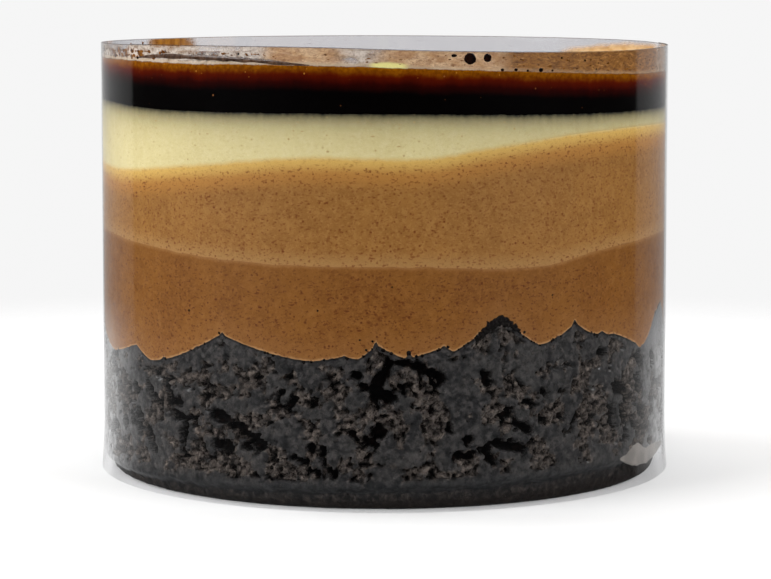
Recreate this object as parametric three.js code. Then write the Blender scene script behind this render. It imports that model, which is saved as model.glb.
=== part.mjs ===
// A triple chocolate mousse cake: dark sponge crumb, dark, milk and white chocolate mousse and a dark
// glaze, set in a round dessert ring and still wrapped in the clear acetate strip that lined it.
//
// Units are millimetres and +Z is up. The origin is the middle of the underside and the front faces -Y.
// A bearing is an angle round the cake in degrees: 0 at the front, 90 at +X and 180 at the back.

import * as THREE from "three";

// The ring and the strip
const RING_RADIUS = 40; // the strip's outside, where it lay against the ring
const STRIP_HEIGHT = 60;
const STRIP_THICKNESS = 0.2;
const STRIP_CLEARANCE = 0.1; // from the strip to the cake, and between the strip's two lapped ends
const LAP = { innerEnd: 78, outerEnd: 99, ramp: 9, slip: 0.25 }; // bearings of the strip's two ends, the
// width of the step where one dives behind the other, and how much lower the inner end sits
const FOOT_FLARE = { reach: 0.35, height: 7 }; // how far the strip's foot springs outwards

// The cake
const STEP_DEGREES = 3; // between neighbouring sections
const LAYER_GAP = 0.08; // between two layers
const FOOT = { radius: 37.4, lowEdge: 2.2, lowEdgeSway: 1.1, lowEdgeBearing: 75 }; // flat underside
const CRUMB = { rows: 7, depth: 0.55, seed: 11 }; // pits in the sponge's side
const POCKET = { bearing: 70, height: 20, halfAngle: 7, halfHeight: 5, depth: 0.7 }; // trapped air
const GLAZE = { middle: 56.85, tilt: 0.95, forwardTilt: 0.25, meniscus: 0.35, meniscusWidth: 2.4 };

// Heights round the rim as [bearing, height], in order, eased from one to the next. The strip's top edge
// is given from STRIP_HEIGHT, because the strip leans a little.
const STRIP_TOP = [
  [-67, 0], [-48, 0.2], [-14, 0.2], [10, -0.25], [45, -0.65], [75, -0.5], [130, -0.3], [190, -0.2],
  [250, -0.2],
];
const WHITE_TOP = [
  [-76, 52.2], [-48, 51.6], [0, 51.65], [40, 51.2], [76, 51.2], [130, 51.6], [180, 52.0], [235, 52.3],
];
const MILK_TOP = [
  [-64, 43.1], [-40, 44.4], [-16, 45.9], [8, 45.9], [20, 47.1], [40, 48.6], [64, 49.0], [110, 48.2],
  [150, 46.2], [190, 45.6], [230, 44.6], [270, 43.8],
];
const DARK_TOP = [
  [-76, 34.1], [-56, 33.4], [-24, 32.15], [6, 31.95], [30, 31.45], [46, 33.0], [76, 33.9], [120, 33.0],
  [160, 31.9], [210, 32.6], [250, 33.8],
];

// The crumb's crest: valleys and the crags between them. hollow is how much a crag's flanks sag.
const CRAGS = [
  { bearing: -32.5, height: 22.5, hollow: 1.6 }, { bearing: -7.5, height: 20.3, hollow: 1.2 },
  { bearing: -1.5, height: 21.9, hollow: 1.3 }, { bearing: 11, height: 21.5, hollow: 1.3 },
  { bearing: 22, height: 25.1, hollow: 1.15 }, { bearing: 39.3, height: 23.7, hollow: 1.7 },
  { bearing: 47, height: 21.9, hollow: 1.2 }, { bearing: 72, height: 24.4, hollow: 1.3 },
  { bearing: 94, height: 22.3, hollow: 1.5 }, { bearing: 117, height: 21.8, hollow: 1.6 },
  { bearing: 131, height: 21.2, hollow: 1.3 }, { bearing: 158, height: 23.4, hollow: 1.5 },
  { bearing: 177, height: 21.6, hollow: 1.3 }, { bearing: 203, height: 24.2, hollow: 1.15 },
  { bearing: 222, height: 22.4, hollow: 1.6 }, { bearing: 249, height: 21.7, hollow: 1.5 },
  { bearing: 276, height: 21.0, hollow: 1.3 }, { bearing: 302.5, height: 19.5, hollow: 1.3 },
];
const VALLEYS = [
  { bearing: -52, height: 17.8 }, { bearing: -13.5, height: 19.6 }, { bearing: -5, height: 20.0 },
  { bearing: 4, height: 20.1 }, { bearing: 13, height: 20.9 }, { bearing: 30.5, height: 21.2 },
  { bearing: 45.5, height: 21.8 }, { bearing: 59.5, height: 18.9 }, { bearing: 84, height: 19.6 },
  { bearing: 104, height: 19.4 }, { bearing: 125, height: 20.2 }, { bearing: 144, height: 18.7 },
  { bearing: 168, height: 20.4 }, { bearing: 189, height: 19.2 }, { bearing: 214, height: 20.8 },
  { bearing: 236, height: 18.8 }, { bearing: 262, height: 19.3 }, { bearing: 291, height: 17.8 },
];
const MIDDLE_HEIGHTS = { crumb: 20.6, dark: 32.7, milk: 46.2, white: 51.6 }; // layer tops at the axis
const CREST_REACH = 0.38; // how far in the crags run, as a share of the radius

// Where each section has points, as shares of the radius, out to the rim
const SMOOTH_RINGS = [0, 0.55, 1];
const CREST_RINGS = [0, 0.6, 0.84, 1];
const GLAZE_RINGS = [0, 0.6, 1 - GLAZE.meniscusWidth / RING_RADIUS, 1];

const LAP_WIDTH = LAP.outerEnd - LAP.innerEnd;
const { clamp, degToRad, euclideanModulo, lerp, smoothstep } = THREE.MathUtils;

// A height for every bearing, on a smooth closed curve through [bearing, height] points.
function roundCurve(points) {
  const count = points.length;
  const point = (index) => {
    const [bearing, height] = points[euclideanModulo(index, count)];
    return [bearing + 360 * Math.floor(index / count), height];
  };
  const slope = (index) => {
    const [before, after] = [point(index - 1), point(index + 1)];
    return (after[1] - before[1]) / (after[0] - before[0]);
  };
  return (bearing) => {
    const turned = points[0][0] + euclideanModulo(bearing - points[0][0], 360);
    let index = 0;
    while (point(index + 1)[0] <= turned) index += 1;
    const [[startBearing, start], [endBearing, end]] = [point(index), point(index + 1)];
    const span = endBearing - startBearing;
    const t = (turned - startBearing) / span;
    const lift = start * (1 + 2 * t) * (1 - t) ** 2 + end * t * t * (3 - 2 * t);
    return lift + span * (slope(index) * t * (1 - t) ** 2 - slope(index + 1) * t * t * (1 - t));
  };
}

// The crumb's crest at the rim: each flank leaves its valley level and steepens up to its crag.
function crestHeight(bearing) {
  const away = (mark, turn) => euclideanModulo(turn * (mark.bearing - bearing), 360);
  const nearest = (marks, turn) => marks.reduce((a, b) => (away(b, turn) < away(a, turn) ? b : a));
  const [cragAfter, valleyAfter] = [nearest(CRAGS, 1), nearest(VALLEYS, 1)];
  const rising = away(cragAfter, 1) < away(valleyAfter, 1);
  const crag = rising ? cragAfter : nearest(CRAGS, -1);
  const valley = rising ? nearest(VALLEYS, -1) : valleyAfter;
  const [toCrag, toValley] = rising ? [away(crag, 1), away(valley, -1)] : [away(crag, -1), away(valley, 1)];
  const climb = toValley / (toCrag + toValley);
  return lerp(valley.height, crag.height, climb ** crag.hollow);
}

// The top of each layer at a bearing and a share of the way from the axis to the rim.
const levelled = (rimPoints, middle) => {
  const rimHeight = roundCurve(rimPoints);
  return (bearing, share) => lerp(middle, rimHeight(bearing), share * share);
};
const tops = {
  crumb: (bearing, share) => {
    return lerp(MIDDLE_HEIGHTS.crumb, crestHeight(bearing), smoothstep(share, 1 - CREST_REACH, 1));
  },
  dark: levelled(DARK_TOP, MIDDLE_HEIGHTS.dark),
  milk: levelled(MILK_TOP, MIDDLE_HEIGHTS.milk),
  white: levelled(WHITE_TOP, MIDDLE_HEIGHTS.white),
  glaze: (bearing, share) => {
    const angle = degToRad(bearing);
    const tilt = share * (GLAZE.forwardTilt * Math.cos(angle) - GLAZE.tilt * Math.sin(angle));
    const edge = clamp(1 - ((1 - share) * RING_RADIUS) / GLAZE.meniscusWidth, 0, 1);
    return GLAZE.middle + tilt + GLAZE.meniscus * edge * edge;
  },
};

// How far the strip stands inside the ring at a place along it, counted in degrees from its outer end.
const lapStep = (travelled) => clamp((travelled - (360 - LAP.ramp)) / LAP.ramp, 0, 1);
const tuckedIn = (travelled) => lapStep(travelled) * (STRIP_THICKNESS + STRIP_CLEARANCE);

// The cake's radius, which is pressed in a little behind the strip's lapped end.
function cakeRadius(bearing) {
  const pastRamp = euclideanModulo(LAP.outerEnd + LAP.ramp - bearing, 360);
  const behindLap = pastRamp <= LAP.ramp + LAP_WIDTH;
  const tucked = behindLap ? tuckedIn(360 - LAP.ramp + pastRamp) : 0;
  return RING_RADIUS - STRIP_THICKNESS - STRIP_CLEARANCE - tucked;
}

// A repeatable number from 0 to 1 for a whole-number place on the crumb.
function crumbNoise(column, row) {
  const mixed = Math.sin(column * 127.1 + row * 311.7 + CRUMB.seed) * 43758.5453;
  return mixed - Math.floor(mixed);
}

// How far the air trapped behind the strip presses the cake in.
function pocketDepth(bearing, height) {
  const across = (euclideanModulo(bearing - POCKET.bearing + 180, 360) - 180) / POCKET.halfAngle;
  const up = (height - POCKET.height) / POCKET.halfHeight;
  return POCKET.depth * Math.exp(-across * across - up * up);
}

// A closed solid whose half section, from the axis underneath to the axis on top, changes with bearing.
// Each four-sided patch is split from its inner near corner, so that two layers' facing surfaces match.
function turnedSolid(halfSection) {
  const columns = Math.round(360 / STEP_DEGREES);
  const sections = Array.from({ length: columns }, (_, column) => halfSection(column * STEP_DEGREES));
  const rows = sections[0].length - 2; // the first and last points lie on the axis and are shared
  const positions = [[0, 0, sections[0][0][1]], [0, 0, sections[0].at(-1)[1]]];
  sections.forEach((section, column) => {
    const angle = degToRad(column * STEP_DEGREES);
    section.slice(1, -1).forEach(([radius, height]) => {
      positions.push([radius * Math.sin(angle), -radius * Math.cos(angle), height]);
    });
  });
  const vertex = (column, row) => 2 + (column % columns) * rows + row;
  const faces = [];
  for (let column = 0; column < columns; column += 1) {
    const next = column + 1;
    faces.push([0, vertex(next, 0), vertex(column, 0)]);
    faces.push([1, vertex(column, rows - 1), vertex(next, rows - 1)]);
    for (let row = 0; row + 1 < rows; row += 1) {
      const [near, nearUp] = [vertex(column, row), vertex(column, row + 1)];
      const [far, farUp] = [vertex(next, row), vertex(next, row + 1)];
      if (sections[column][row + 1][0] < sections[column][row + 2][0]) {
        faces.push([near, far, farUp], [near, farUp, nearUp]);
      } else {
        faces.push([near, far, nearUp], [far, farUp, nearUp]);
      }
    }
  }
  return facetedGeometry(positions, faces);
}

function facetedGeometry(positions, faces) {
  const geometry = new THREE.BufferGeometry();
  geometry.setAttribute("position", new THREE.Float32BufferAttribute(positions.flat(), 3));
  geometry.setIndex(faces.flat());
  geometry.computeVertexNormals();
  return geometry;
}

// A layer between two surfaces. sideHeights are shares of the way up its side.
function layerGeometry(under, over, underRings, overRings, sideHeights = []) {
  return turnedSolid((bearing) => {
    const rim = cakeRadius(bearing);
    const bottom = underRings.map((share) => [share * rim, under(bearing, share) + LAYER_GAP / 2]);
    const top = overRings.map((share) => [share * rim, over(bearing, share) - LAYER_GAP / 2]);
    const [low, high] = [bottom.at(-1)[1], top.at(-1)[1]];
    const side = sideHeights.map((share) => {
      const height = lerp(low, high, share);
      return [rim - pocketDepth(bearing, height), height];
    });
    return [...bottom, ...side, ...top.reverse()];
  });
}

// The sponge crumb: a flat foot, an undercut lower edge, a pitted side and the craggy crest.
function crumbGeometry() {
  return turnedSolid((bearing) => {
    const rim = cakeRadius(bearing);
    const sway = FOOT.lowEdgeSway * Math.cos(degToRad(bearing - FOOT.lowEdgeBearing));
    const lowEdge = FOOT.lowEdge + sway;
    const top = CREST_RINGS.map((share) => [share * rim, tops.crumb(bearing, share) - LAYER_GAP / 2]);
    const rimTop = top.at(-1)[1];
    const side = Array.from({ length: CRUMB.rows }, (_, row) => {
      const height = lerp(lowEdge, rimTop, row / CRUMB.rows);
      const pit = row === 0 ? 0 : CRUMB.depth * crumbNoise(bearing / STEP_DEGREES, row) ** 2;
      return [rim - pit - pocketDepth(bearing, height), height];
    });
    const foot = [[0, 0], [FOOT.radius, 0], [lerp(FOOT.radius, rim, 0.75), lowEdge * 0.4]];
    return [...foot, ...side, ...top.reverse()];
  });
}

// The strip: a thin wall followed from its outer end once round the cake and on under that end.
function stripGeometry() {
  const topEdge = roundCurve(STRIP_TOP);
  const stations = Math.round((360 + LAP_WIDTH) / STEP_DEGREES);
  const flareHeights = [0, FOOT_FLARE.height / 3, FOOT_FLARE.height];
  const positions = [];
  for (let station = 0; station <= stations; station += 1) {
    const travelled = station * STEP_DEGREES;
    const bearing = LAP.outerEnd - travelled;
    const angle = degToRad(bearing);
    const outside = RING_RADIUS - tuckedIn(travelled);
    const top = STRIP_HEIGHT + topEdge(bearing) - LAP.slip * lapStep(travelled);
    const heights = [...flareHeights, top];
    const wall = heights.map((height) => {
      const flare = FOOT_FLARE.reach * (1 - Math.min(height / FOOT_FLARE.height, 1)) ** 2;
      return [outside + flare, height];
    });
    const inside = wall.map(([radius, height]) => [radius - STRIP_THICKNESS, height]).reverse();
    [...wall, ...inside].forEach(([radius, height]) => {
      positions.push([radius * Math.sin(angle), -radius * Math.cos(angle), height]);
    });
  }
  return facetedGeometry(positions, sweptFaces(stations, 2 * (flareHeights.length + 1)));
}

// Faces of a closed ring of points swept through the stations, with an end cap at each end. The ring's
// first half runs up one face of the wall and its second half runs back down the other.
function sweptFaces(stations, ringSize) {
  const faces = [];
  for (let station = 0; station < stations; station += 1) {
    for (let point = 0; point < ringSize; point += 1) {
      const [here, beside] = [station * ringSize + point, station * ringSize + ((point + 1) % ringSize)];
      faces.push([here, beside, beside + ringSize], [here, beside + ringSize, here + ringSize]);
    }
  }
  const lastRing = stations * ringSize;
  for (let up = 0; up + 1 < ringSize / 2; up += 1) {
    const across = ringSize - 1 - up;
    faces.push([up, across, across - 1], [up, across - 1, up + 1]);
    faces.push([lastRing + up, lastRing + across - 1, lastRing + across]);
    faces.push([lastRing + up, lastRing + up + 1, lastRing + across - 1]);
  }
  return faces;
}

function food(color, roughness) {
  return new THREE.MeshStandardMaterial({ color, roughness, metalness: 0, flatShading: true });
}

function namedMesh(name, geometry, material) {
  const mesh = new THREE.Mesh(geometry, material);
  mesh.name = name;
  return mesh;
}

const clearFilm = new THREE.MeshStandardMaterial({
  color: 0xe6e8e8, roughness: 0.08, metalness: 0, transparent: true, opacity: 0.25,
});
const darkMousse = layerGeometry(tops.crumb, tops.dark, CREST_RINGS, SMOOTH_RINGS, [0.25, 0.6]);
const milkMousse = layerGeometry(tops.dark, tops.milk, SMOOTH_RINGS, SMOOTH_RINGS);
const whiteMousse = layerGeometry(tops.milk, tops.white, SMOOTH_RINGS, SMOOTH_RINGS);
const glaze = layerGeometry(tops.white, tops.glaze, SMOOTH_RINGS, GLAZE_RINGS);

const cake = new THREE.Group();
cake.add(
  namedMesh("cake_base", crumbGeometry(), food(0x2e2a2a, 0.85)),
  namedMesh("dark_mousse", darkMousse, food(0x7d5028, 0.6)),
  namedMesh("milk_mousse", milkMousse, food(0x946540, 0.6)),
  namedMesh("white_mousse", whiteMousse, food(0xe2d8a2, 0.55)),
  namedMesh("chocolate_glaze", glaze, food(0x1c0802, 0.12)),
  namedMesh("acetate_collar", stripGeometry(), clearFilm),
);

export default cake;
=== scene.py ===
import math

import bmesh
import bpy
import numpy as np
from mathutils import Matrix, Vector, noise


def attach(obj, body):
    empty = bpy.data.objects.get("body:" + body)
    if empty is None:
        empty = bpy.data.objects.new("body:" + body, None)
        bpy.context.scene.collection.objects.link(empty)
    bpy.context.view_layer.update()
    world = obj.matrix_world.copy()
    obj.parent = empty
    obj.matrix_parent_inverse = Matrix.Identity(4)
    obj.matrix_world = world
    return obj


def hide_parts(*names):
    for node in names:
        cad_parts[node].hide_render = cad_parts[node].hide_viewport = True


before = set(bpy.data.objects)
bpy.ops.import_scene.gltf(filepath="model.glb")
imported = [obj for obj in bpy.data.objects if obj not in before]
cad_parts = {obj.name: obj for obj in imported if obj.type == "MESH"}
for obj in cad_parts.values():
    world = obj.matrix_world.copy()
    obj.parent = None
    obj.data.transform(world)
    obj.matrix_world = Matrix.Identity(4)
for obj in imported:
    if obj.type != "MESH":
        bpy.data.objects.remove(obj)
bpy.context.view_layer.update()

# A chilled triple chocolate mousse cake in its clear strip. Lengths in this file are millimetres until
# place() turns them into metres. A bearing is an angle round the cake in degrees: 0 at the front (-Y),
# 90 at +X and 180 at the back.
MM = 0.001

# ---------------------------------------------------------------- sizes
RING_RADIUS = 40
STRIP_HEIGHT = 60
FILM_THICKNESS = 0.12
FILM_GAP = 0.02  # from the film to the cake
LAP_INNER_END, LAP_OUTER_END, LAP_RAMP, LAP_SLIP = 78, 99, 9, 0.05
FLARE_REACH, FLARE_HEIGHT = 0.35, 7
LAYER_GAP = 0.008

FOOT_RADIUS = 37.4
LOW_EDGE, LOW_EDGE_SWAY, LOW_EDGE_BEARING = 2.2, 1.1, 75
GLAZE_MIDDLE, GLAZE_TILT, GLAZE_FORWARD_TILT = 56.85, 0.95, 0.25
MENISCUS_HEIGHT, MENISCUS_WIDTH = 0.35, 2.4
MIRROR_DEPTH = 0.2  # the glaze's shining skin
# How far the glaze's edge stands off its even tilt, as (bearing, height)
GLAZE_SWAY = (
    (-76, -0.12), (-58, -0.13), (-40, -0.13), (-26, 0.13), (-15, 0.28), (0, 0.25), (17, 0.16), (35, -0.07),
    (47, -0.2), (59, -0.28), (80, -0.1), (110, 0), (180, 0), (250, 0),
)

# Heights round the rim as (bearing, height); the strip's top edge is given from STRIP_HEIGHT
STRIP_TOP = (
    (-67, 0), (-48, 0.19), (-14, 0.19), (10, -0.25), (45, -0.65), (75, -0.5), (130, -0.3),
    (190, -0.2), (250, -0.2),
)
WHITE_TOP = (
    (-76, 52.2), (-48, 51.6), (0, 51.65), (40, 51.2), (76, 51.2), (130, 51.6), (180, 52), (235, 52.3),
)
MILK_TOP = (
    (-64, 43.1), (-40, 44.4), (-16, 45.9), (8, 45.9), (20, 47.1), (40, 48.6), (64, 49),
    (110, 48.2), (150, 46.2), (190, 45.6), (230, 44.6), (270, 43.8),
)
DARK_TOP = (
    (-76, 34.1), (-56, 33.4), (-24, 32.15), (6, 31.95), (30, 31.45), (46, 33), (76, 33.9),
    (120, 33), (160, 31.9), (210, 32.6), (250, 33.8),
)
# The crumb's crags as (bearing, height, how much the flanks sag), and the valleys between them
CRAGS = (
    (-32.5, 22.5, 1.6), (-7.5, 20.3, 1.2), (-1.5, 21.9, 1.3), (11, 21.5, 1.3), (22, 25.1, 1.15),
    (39.3, 23.7, 1.7), (47, 21.9, 1.2), (50.5, 21.5, 0.75), (69.5, 23.2, 1.7), (74, 24.2, 1),
    (94, 22.3, 1.5), (117, 21.8, 1.6), (131, 21.2, 1.3), (158, 23.4, 1.5), (177, 21.6, 1.3),
    (203, 24.2, 1.15), (222, 22.4, 1.6), (249, 21.7, 1.5), (276, 21, 1.3), (302.5, 19.5, 1.3),
)
VALLEYS = (
    (-52, 17.8), (-13.5, 19.6), (-5, 20), (4, 20.1), (13, 20.9), (30.5, 21.2), (45.5, 21.8),
    (48.8, 21.5), (60.5, 18.8), (70.8, 23.2), (84, 19.6), (104, 19.4), (125, 20.2), (144, 18.7),
    (168, 20.4), (189, 19.2), (214, 20.8), (236, 18.8), (262, 19.3), (291, 17.8),
)
MIDDLE_HEIGHT = {"crumb": 20.6, "dark": 32.7, "milk": 46.2, "white": 51.6}
# Splinters on the crumb's crest as (bearing, rise, half its width in degrees)
SPLINTERS = (
    (-48, 0.3, 1), (-32.2, 0.35, 0.6), (-7.5, 0.15, 0.5), (-1.7, 0.6, 0.5), (4.6, 0.85, 0.65),
    (11.2, 0.3, 0.6), (17.8, 0.3, 0.7), (25, 0.3, 0.5), (34.8, 0.2, 0.6), (38.9, 0.4, 0.6),
    (47, 0.15, 0.8), (61.8, 0.2, 0.5),
)
# Hollows between the crumbs as (bearing, height) where each starts, the same where it ends, and half its
# width in mm
HOLLOWS = (
    (-66.6, 13.4, -66, 12.9, 0.7), (-62.6, 13.8, -62, 13.2, 0.55), (-63, 8.8, -62.4, 8.2, 0.7),
    (-58.4, 13.9, -57.6, 13.2, 0.6), (-56.8, 10.4, -55.8, 9.6, 0.65), (-59.8, 9.8, -59.2, 9.2, 0.6),
    (-49.6, 12.1, -49, 11.2, 0.55), (-57.2, 8.6, -56.4, 7.9, 0.5), (-53.1, 14.2, -50.8, 12.7, 0.75),
    (-47.4, 15.3, -45.4, 12.5, 0.6), (-47, 12.4, -43.2, 12.9, 0.65), (-45.2, 11.1, -42.3, 10.7, 0.65),
    (-40, 11, -39, 10.7, 0.6), (-41.9, 9.6, -42.4, 6, 0.55), (-53.4, 8.3, -51.2, 6.1, 0.7),
    (-34.4, 11.7, -30.6, 10.9, 0.85), (-33.7, 8, -30.7, 7.6, 0.75), (-28.6, 10.3, -24, 8.2, 0.8),
    (-27.2, 8, -26.4, 7.7, 0.5), (-20, 15.4, -20.6, 13.5, 0.45), (-17.4, 14.5, -18.7, 13, 0.45),
    (-17.4, 6.8, -15.3, 6.2, 0.35), (-14.1, 8.3, -13.9, 7.9, 0.4), (-11.7, 8.2, -11.3, 6.3, 0.42),
    (-14.2, 5.2, -12.4, 5, 0.36), (-10.2, 5.2, -9.7, 5, 0.5), (-6.3, 10.2, -5, 9.4, 0.3),
    (-5.6, 17.9, -5.1, 17.7, 0.6), (-4.1, 16.7, -3.8, 16.1, 0.42), (-3.2, 9.4, -1.9, 8.9, 0.62),
    (-1, 10.6, -0.7, 10.4, 0.95), (0.9, 19.3, -0.9, 17.2, 0.7), (-0.9, 17.2, -2, 15.2, 0.85),
    (-1.9, 15.1, 1.3, 14.8, 0.7), (3.2, 16.1, 3.6, 15.8, 0.5), (2.4, 19.5, 6.2, 19, 0.42),
    (6.2, 19, 10.4, 17.5, 0.7), (8.9, 17, 9.6, 16.4, 0.55), (12, 10.8, 12.4, 10.5, 0.45),
    (13.6, 7.2, 16.6, 7.1, 0.6), (15.6, 9.3, 16.3, 8.9, 0.55), (19.2, 17.6, 20.2, 16.5, 0.6),
    (18.6, 7.6, 21, 8.4, 0.45), (22.6, 8.4, 27.2, 7.5, 0.62), (20.2, 6.9, 20.9, 6.2, 0.65),
    (23.9, 13, 23, 11.3, 0.5), (25.6, 11, 28.4, 10, 0.65), (27.8, 13.7, 29.5, 13.2, 0.42),
    (31, 11.5, 31.7, 11.2, 0.5), (35.7, 11.4, 36.1, 11, 0.35), (38.7, 10.5, 39.9, 11.4, 0.32),
    (36.7, 9.3, 37.1, 9, 0.4), (31.6, 15, 32.2, 14.6, 0.35), (46.1, 19.3, 47.6, 19.1, 0.5),
    (51.4, 14.3, 55.1, 13.5, 0.95), (54.6, 13.5, 56.1, 12, 0.8), (50.2, 11.5, 51.1, 8.9, 0.8),
    (53.8, 10.9, 55.2, 9.4, 0.95), (54.8, 8.1, 55.3, 7, 0.65), (59.8, 14.5, 61, 13, 0.8),
    (61.1, 10.6, 63.1, 9.3, 0.75), (60.3, 17.7, 61.5, 16.4, 0.75), (67.1, 17.6, 68, 16.2, 0.7),
    (68.2, 12.3, 67.4, 11.3, 0.8), (57.8, 9.2, 60, 7.6, 0.6),
)
UNSEEN_HOLLOWS = 95
# Loose crumbs against the strip as (bearing, height, width)
STRAY_CRUMBS = (
    (17.6, 22.6, 0.9), (18.5, 23, 1.2), (19.3, 23.5, 1.25), (20.1, 23.9, 1.35), (20.9, 24.3, 1.45),
    (21.7, 24.6, 1.5), (22.5, 24.7, 1.4), (23.4, 24.45, 1.35), (24.3, 24.15, 1.2), (25.2, 23.75, 1),
    (26, 23.3, 0.7), (27.3, 23, 0.42), (-3.4, 21.2, 0.36), (-4.6, 22.5, 0.3), (-2.2, 22.35, 0.34),
    (4.5, 20.8, 0.7), (5.9, 20.4, 0.4), (10.2, 21.2, 0.5), (11.9, 21.5, 0.45), (-33, 22.6, 0.4),
    (39.2, 23.6, 0.5), (43.7, 22.1, 0.4), (-12.5, 26.2, 0.3), (-40.4, 25.2, 0.42), (33.5, 27.6, 0.25),
    (1.4, 29.4, 0.25),
)
UNSEEN_CRUMBS = 60
CREST_CRUMBS = 200

# What the pour left on the strip above the glaze, as (from, to, how thick it covers) for each kind
SMEARS = {
    "cream": ((-82, -46, 0.8), (-48, -20, 0.78), (-11, 3, 1), (-104, -90, 0.4)),
    "tan": ((-23, -8, 1), (-1, 27, 1), (60, 88, 0.6)),
    "brown": ((23, 70, 1), (70, 84, 0.75)),
    "amber": ((-135, -117, 1),),
    "cloud": ((96, 141, 1),),
}
SMEAR_FADES = {"cloud": 9, "amber": 5}  # degrees; the others fade over 3
# How high the pale brown cloud at the right reaches, as (bearing, height)
CLOUD_TOP = ((90, 59.7), (110, 59.5), (119, 59.4), (132, 58.7), (143, 57.9))
SMEAR_OVERLAP = 0.35  # how far the smear reaches down behind the glaze's edge
PAINTED_HIGHLIGHT = (-3, 4.5, 0.75)  # a painted highlight, pale yellow, at the glaze's edge: from, to, height
# Beads of glaze on the strip, as (bearing, height, width, height by width)
BEADS = ((16, 58.68, 1.72, 0.95), (19.4, 58.76, 1.15, 1.05), (12.9, 59.1, 0.8, 0.55))
DRIPS = (
    (22.4, 57.2, 0.5), (25.2, 57.2, 0.55), (27.7, 57.05, 0.4), (30.6, 57.1, 0.7), (33.2, 57, 0.35),
    (-56, 58.3, 0.5), (-28.3, 59.2, 0.35), (35.4, 58.6, 0.35), (41.3, 58.2, 0.35), (44.4, 57, 0.28),
)
# Brown flecks above the glaze as (from, to, how many, smallest, largest, height by width)
FLECKS = (
    (-79, -46, 64, 0.3, 1.25, 0.75), (-46, -20, 46, 0.2, 0.5, 0.6), (-20, 22, 26, 0.2, 0.55, 0.42),
    (22, 70, 60, 0.2, 0.65, 0.5), (70, 95, 10, 0.2, 0.5, 0.5), (-134, -110, 14, 0.3, 0.8, 0.8),
)
FLECK_CEILING = 59.2
# The fold in the glaze's skin, as (bearing, height) along it
FOLD = ((-57, 58.3), (-50, 58.66), (-41, 58.7), (-33, 58.6), (-25, 58.4), (-19, 58.06), (-14, 57.85))
FOLD_WIDTH = 0.9
# A pale scrape of mousse low on the strip at the right, as (bearing, lower edge, upper edge)
SCRAPE = (
    (53, 4.1, 4.2), (55.5, 3.3, 4.8), (58, 2.8, 5.4), (60, 2.6, 5.6), (62.5, 2.5, 5.1), (64.7, 2.4, 4.6),
    (68, 2.7, 4.7), (73, 3.3, 4.6), (77, 3.6, 4.3), (79, 3.9, 4),
)
POCKET = (62, 82, 18.2)  # where the strip stands off the crumb at the right: from, to, lowest height

# The mousses' dark specks as (cell size in mm, share of the cells with one, reach in cells, stretch)
MOUSSE_SPECKS = (
    (0.62, 0.6, 0.35, (1, 1, 1)), (0.9, 0.5, 0.24, (0.5, 0.5, 1.4)),
    (1.2, 0.45, 0.19, (0.8, 0.8, 1.1)), (2.3, 0.3, 0.09, (1, 1, 1)),
)
GOLDEN = (206, 168, 90)  # where the white mousse shades into the milk one

CREST_REACH = 0.38  # how far in the crags run, as a share of the radius
CRUMB_COLUMNS = 960
CRUMB_ROWS = 82
SMOOTH_COLUMNS = 720
COVER_SHARES = np.array([0, 0.3, 0.55, 0.72, 0.85, 0.93, 0.975, 0.995])  # rings over the cake's middle


# ---------------------------------------------------------------- outlines round the cake
def place(radius, bearing, height):
    angle = np.radians(bearing)
    across, along, up = np.broadcast_arrays(radius * np.sin(angle), -radius * np.cos(angle), height)
    return np.stack([across, along, up], axis=-1) * MM


def noise_spots(radius, bearing, height, scale, seed):
    """Points of the cake as vectors, for a noise with features about scale mm across."""
    spots = place(radius, bearing, height) / (scale * MM)
    offset = Vector((seed * 7.31, seed * 3.77, seed * 5.19))
    return [Vector(p) + offset for p in spots.reshape(-1, 3)], spots.shape[:-1]


def noise_field(radius, bearing, height, scale, seed, octaves=1):
    """Smooth noise from about -1 to 1 over points of the cake."""
    spots, shape = noise_spots(radius, bearing, height, scale, seed)
    if octaves == 1:
        values = [noise.noise(p) for p in spots]
    else:
        values = [noise.fractal(p, 1.0, 2.0, octaves) for p in spots]
    return np.array(values).reshape(shape)


def rim_noise(bearing, scale, seed, octaves=1, height=0.0):
    return noise_field(RING_RADIUS, bearing, height, scale, seed, octaves)


def cell_field(radius, bearing, height, scale, seed):
    """The distance to the nearest of scattered points, and a number for that point."""
    spots, shape = noise_spots(radius, bearing, height, scale, seed)
    near, tag = [], []
    for p in spots:
        distances, points = noise.voronoi(p)
        near.append(distances[0])
        tag.append(noise.cell(points[0] * 13.7))
    return np.array(near).reshape(shape), np.array(tag).reshape(shape)


def round_curve(points):
    """A height for every bearing, on a smooth closed curve through (bearing, height) points."""
    knots, heights = np.array(points, float).T
    knots = np.concatenate([knots[-2:] - 360, knots, knots[:2] + 360])
    heights = np.concatenate([heights[-2:], heights, heights[:2]])
    slopes = np.zeros(len(knots))
    slopes[1:-1] = (heights[2:] - heights[:-2]) / (knots[2:] - knots[:-2])

    def height(bearing):
        turned = points[0][0] + np.mod(np.asarray(bearing, float) - points[0][0], 360)
        at = np.searchsorted(knots, turned, side="right") - 1
        span = knots[at + 1] - knots[at]
        t = (turned - knots[at]) / span
        lift = heights[at] * (1 + 2 * t) * (1 - t) ** 2 + heights[at + 1] * t * t * (3 - 2 * t)
        return lift + span * (slopes[at] * t * (1 - t) ** 2 - slopes[at + 1] * t * t * (1 - t))

    return height


def smoothstep(low, high, value):
    t = np.clip((value - low) / (high - low), 0, 1)
    return t * t * (3 - 2 * t)


def turn_between(bearing, middle):
    """The angle from middle to bearing, from -180 to 180."""
    return np.mod(np.asarray(bearing, float) - middle + 180, 360) - 180


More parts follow.
